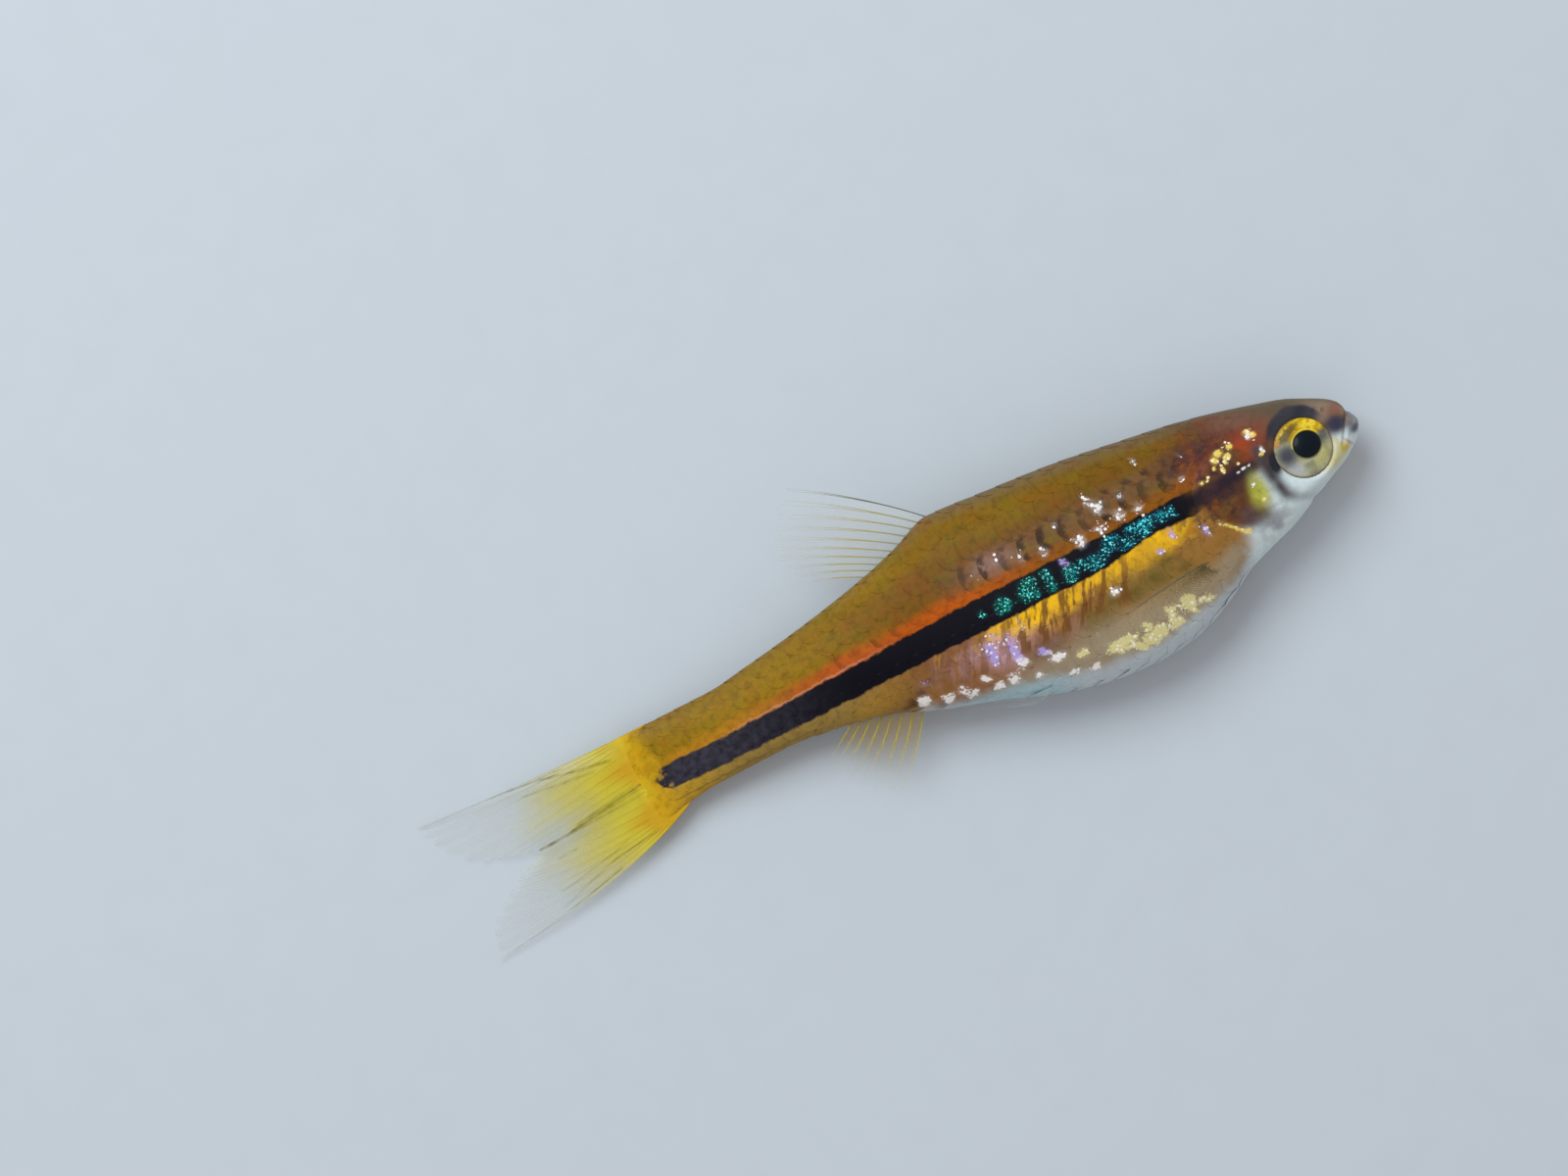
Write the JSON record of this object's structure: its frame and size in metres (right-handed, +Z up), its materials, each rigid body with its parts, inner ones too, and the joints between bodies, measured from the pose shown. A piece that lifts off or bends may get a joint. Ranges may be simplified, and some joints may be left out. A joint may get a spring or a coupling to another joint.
{
  "type": "brilliant rasbora fish model",
  "caption": "Small slender freshwater fish lying on its left side, with a large eye, forked tail and a dark stripe along the flank.",
  "frame": {"origin": "on the floor, under the centre of the bounding box", "axes": "+X from the tail to the head, +Y from the belly to the back, +Z up, out of the fish's right flank"},
  "size_m": [0.07, 0.0221, 0.0083],
  "materials": {
    "flank_skin": "wet scaled skin, brown and gold with a black stripe",
    "head_skin": "wet smooth skin, brown above and translucent pale below",
    "cheek_silver": "iridescent silver and gold gill cover",
    "yellow_fin": "thin clear membrane, yellow at its base",
    "clear_fin": "thin clear membrane",
    "gold_eye": "polished, gold iris round a black pupil"
  },
  "bodies": {
    "root": {"head": "head_skin", "lower_jaw": "head_skin", "eye_right": "gold_eye", "eye_left": "gold_eye", "gill_cover_right": "cheek_silver", "gill_cover_left": "cheek_silver", "trunk": "flank_skin", "tail": "flank_skin", "dorsal_fin": "yellow_fin", "anal_fin": "yellow_fin", "caudal_fin": "yellow_fin", "pectoral_fin_right": "clear_fin", "pectoral_fin_left": "clear_fin", "pelvic_fin_right": "clear_fin", "pelvic_fin_left": "clear_fin"}
  },
  "joints": []
}
